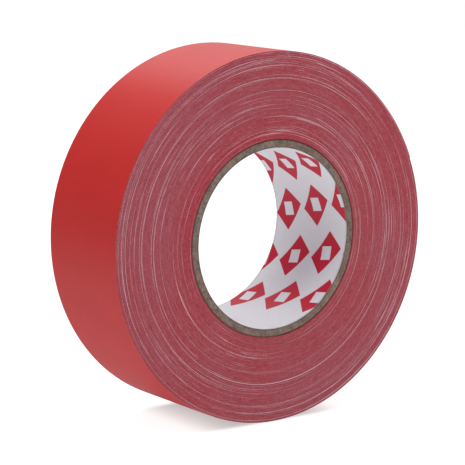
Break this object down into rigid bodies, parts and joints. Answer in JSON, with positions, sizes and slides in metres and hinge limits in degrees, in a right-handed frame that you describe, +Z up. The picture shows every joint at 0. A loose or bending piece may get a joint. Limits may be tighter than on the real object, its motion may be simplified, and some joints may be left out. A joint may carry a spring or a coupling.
{
  "type": "duct tape roll",
  "caption": "Wide roll of red cloth tape wound on a lined cardboard core, with a free end that peels back.",
  "frame": {"origin": "on the floor under the middle of the roll, which stands on its tread", "axes": "+Z up; Y along the roll's axis, with the front side face towards -Y; +X to the right seen from the front"},
  "size_m": [0.1553, 0.05, 0.1554],
  "materials": {
    "white_paper": "matt white paper printed in red",
    "grey_board": "raw grey-brown chipboard, matt",
    "red_cloth_tape": "satin red polyethylene film on woven cloth"
  },
  "bodies": {
    "roll": {"core_liner": "white_paper", "core_ply_1": "grey_board", "core_ply_2": "grey_board", "core_ply_3": "grey_board", "core_ply_4": "grey_board", "core_ply_5": "grey_board", "core_ply_6": "grey_board", "wound_tape": "red_cloth_tape"},
    "tail_1": {"tail_segment_1": "red_cloth_tape"},
    "tail_2": {"tail_segment_2": "red_cloth_tape"},
    "tail_3": {"tail_segment_3": "red_cloth_tape"},
    "tail_4": {"tail_segment_4": "red_cloth_tape"},
    "tail_5": {"tail_segment_5": "red_cloth_tape"},
    "tail_6": {"tail_segment_6": "red_cloth_tape"}
  },
  "joints": [
    {"name": "tail_peel", "type": "hinge", "parent": "roll", "child": "tail_1", "pos_m": [0.03128, 0, 0.14871], "axis": [0, -1, 0], "range_deg": [0, 30]},
    {"name": "tail_bend_2", "type": "hinge", "parent": "tail_1", "child": "tail_2", "pos_m": [0.04029, 0, 0.14403], "axis": [0, -1, 0], "range_deg": [0, 30]},
    {"name": "tail_bend_3", "type": "hinge", "parent": "tail_2", "child": "tail_3", "pos_m": [0.04862, 0, 0.1382], "axis": [0, -1, 0], "range_deg": [0, 30]},
    {"name": "tail_bend_4", "type": "hinge", "parent": "tail_3", "child": "tail_4", "pos_m": [0.05611, 0, 0.13134], "axis": [0, -1, 0], "range_deg": [0, 30]},
    {"name": "tail_bend_5", "type": "hinge", "parent": "tail_4", "child": "tail_5", "pos_m": [0.06265, 0, 0.12356], "axis": [0, -1, 0], "range_deg": [0, 30]},
    {"name": "tail_bend_6", "type": "hinge", "parent": "tail_5", "child": "tail_6", "pos_m": [0.06811, 0, 0.115], "axis": [0, -1, 0], "range_deg": [0, 30]}
  ],
  "couplings": [
    {"joint": "tail_bend_2", "follows": "tail_peel", "ratio": 1},
    {"joint": "tail_bend_3", "follows": "tail_peel", "ratio": 1},
    {"joint": "tail_bend_4", "follows": "tail_peel", "ratio": 1},
    {"joint": "tail_bend_5", "follows": "tail_peel", "ratio": 1},
    {"joint": "tail_bend_6", "follows": "tail_peel", "ratio": 1}
  ]
}
